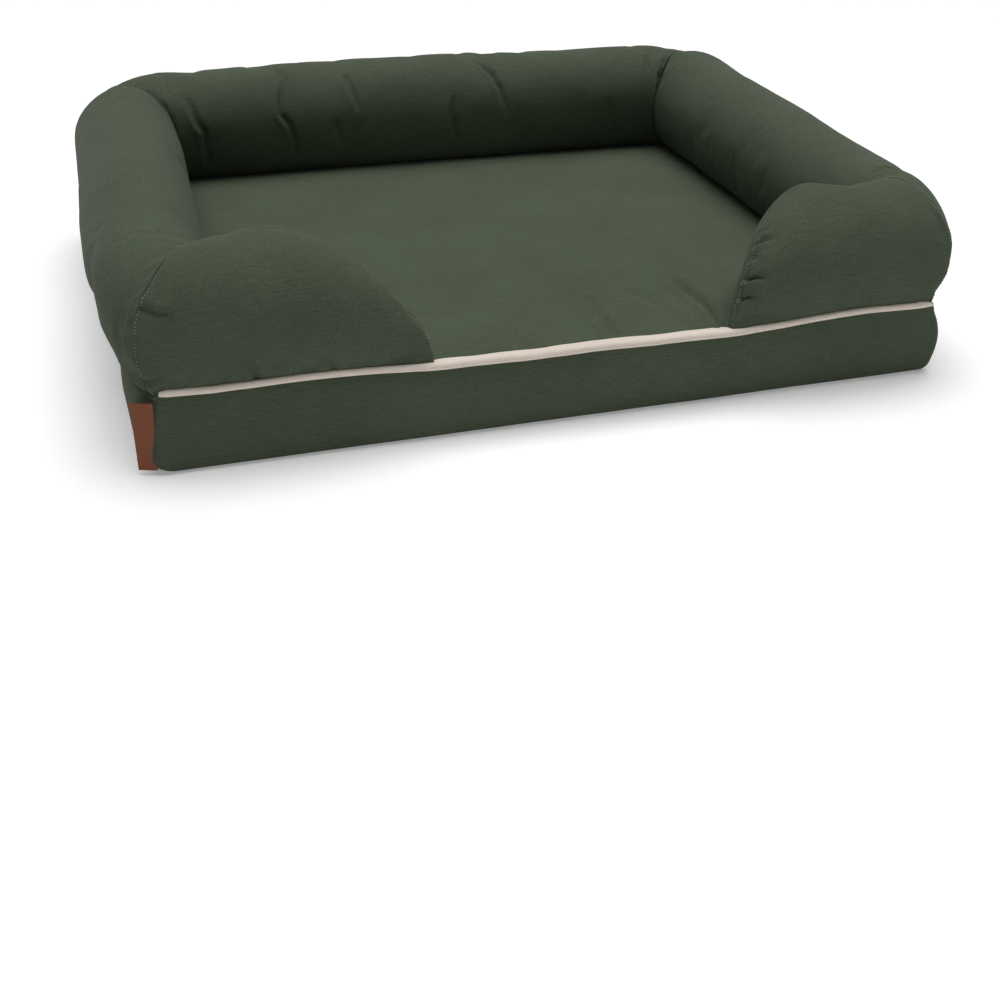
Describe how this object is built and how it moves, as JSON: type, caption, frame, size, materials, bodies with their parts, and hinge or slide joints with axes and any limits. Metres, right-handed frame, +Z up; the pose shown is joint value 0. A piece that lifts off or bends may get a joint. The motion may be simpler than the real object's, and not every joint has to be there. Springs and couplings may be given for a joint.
{
  "type": "dog sofa bed",
  "caption": "Dog sofa bed: a boxed foam base in a zipped cloth cover with a stuffed bolster round the back and sides that ends in short rounded front returns.",
  "frame": {"origin": "middle of the underside, at floor level", "axes": "+X to the bed's right seen from the front, +Y to the back, +Z up"},
  "size_m": [1.004, 0.814, 0.2303],
  "materials": {
    "cover_cloth": "plain woven, dark green",
    "underside_cloth": "non-slip cloth, dark",
    "piping_cloth": "plain woven, cream",
    "tag_leather": "smooth, tan brown, bare",
    "foam": "open cell foam",
    "stuffing": "fibre stuffing",
    "zip_tape": "woven tape",
    "zip_teeth": "moulded",
    "zip_metal": "satin"
  },
  "bodies": {
    "bed": {"foam_slab": "foam", "seat_panel": "cover_cloth", "front_band": "cover_cloth", "left_band": "cover_cloth", "right_band": "cover_cloth", "rear_band_upper": "cover_cloth", "rear_band_lower": "cover_cloth", "bottom_panel": "underside_cloth", "front_piping": "piping_cloth", "piping_cord": "stuffing", "side_tag": "tag_leather", "back_bolster_cover": "cover_cloth", "left_arm_cover": "cover_cloth", "right_arm_cover": "cover_cloth", "back_bolster_fill": "stuffing", "left_arm_fill": "stuffing", "right_arm_fill": "stuffing", "left_return_front_panel": "cover_cloth", "left_return_rear_panel": "cover_cloth", "left_return_fill": "stuffing", "right_return_front_panel": "cover_cloth", "right_return_rear_panel": "cover_cloth", "right_return_fill": "stuffing", "zip_tape_upper": "zip_tape", "zip_tape_lower": "zip_tape", "zip_teeth_upper": "zip_teeth", "zip_teeth_lower": "zip_teeth", "zip_top_stops": "zip_metal", "zip_bottom_stop": "zip_metal", "zip_end_patches": "cover_cloth"},
    "slider": {"zip_slider": "zip_metal"},
    "pull": {"zip_pull": "zip_metal"}
  },
  "joints": [
    {"name": "zip_slide", "type": "slide", "parent": "bed", "child": "slider", "axis": [-1, 0, 0], "range_m": [0, 0.7442], "deforming": ["zip_teeth_upper", "zip_teeth_lower"]},
    {"name": "pull_hinge", "type": "hinge", "parent": "slider", "child": "pull", "pos_m": [0.3735, 0.372, 0.048], "axis": [0, 0, -1], "range_deg": [0, 180]}
  ]
}
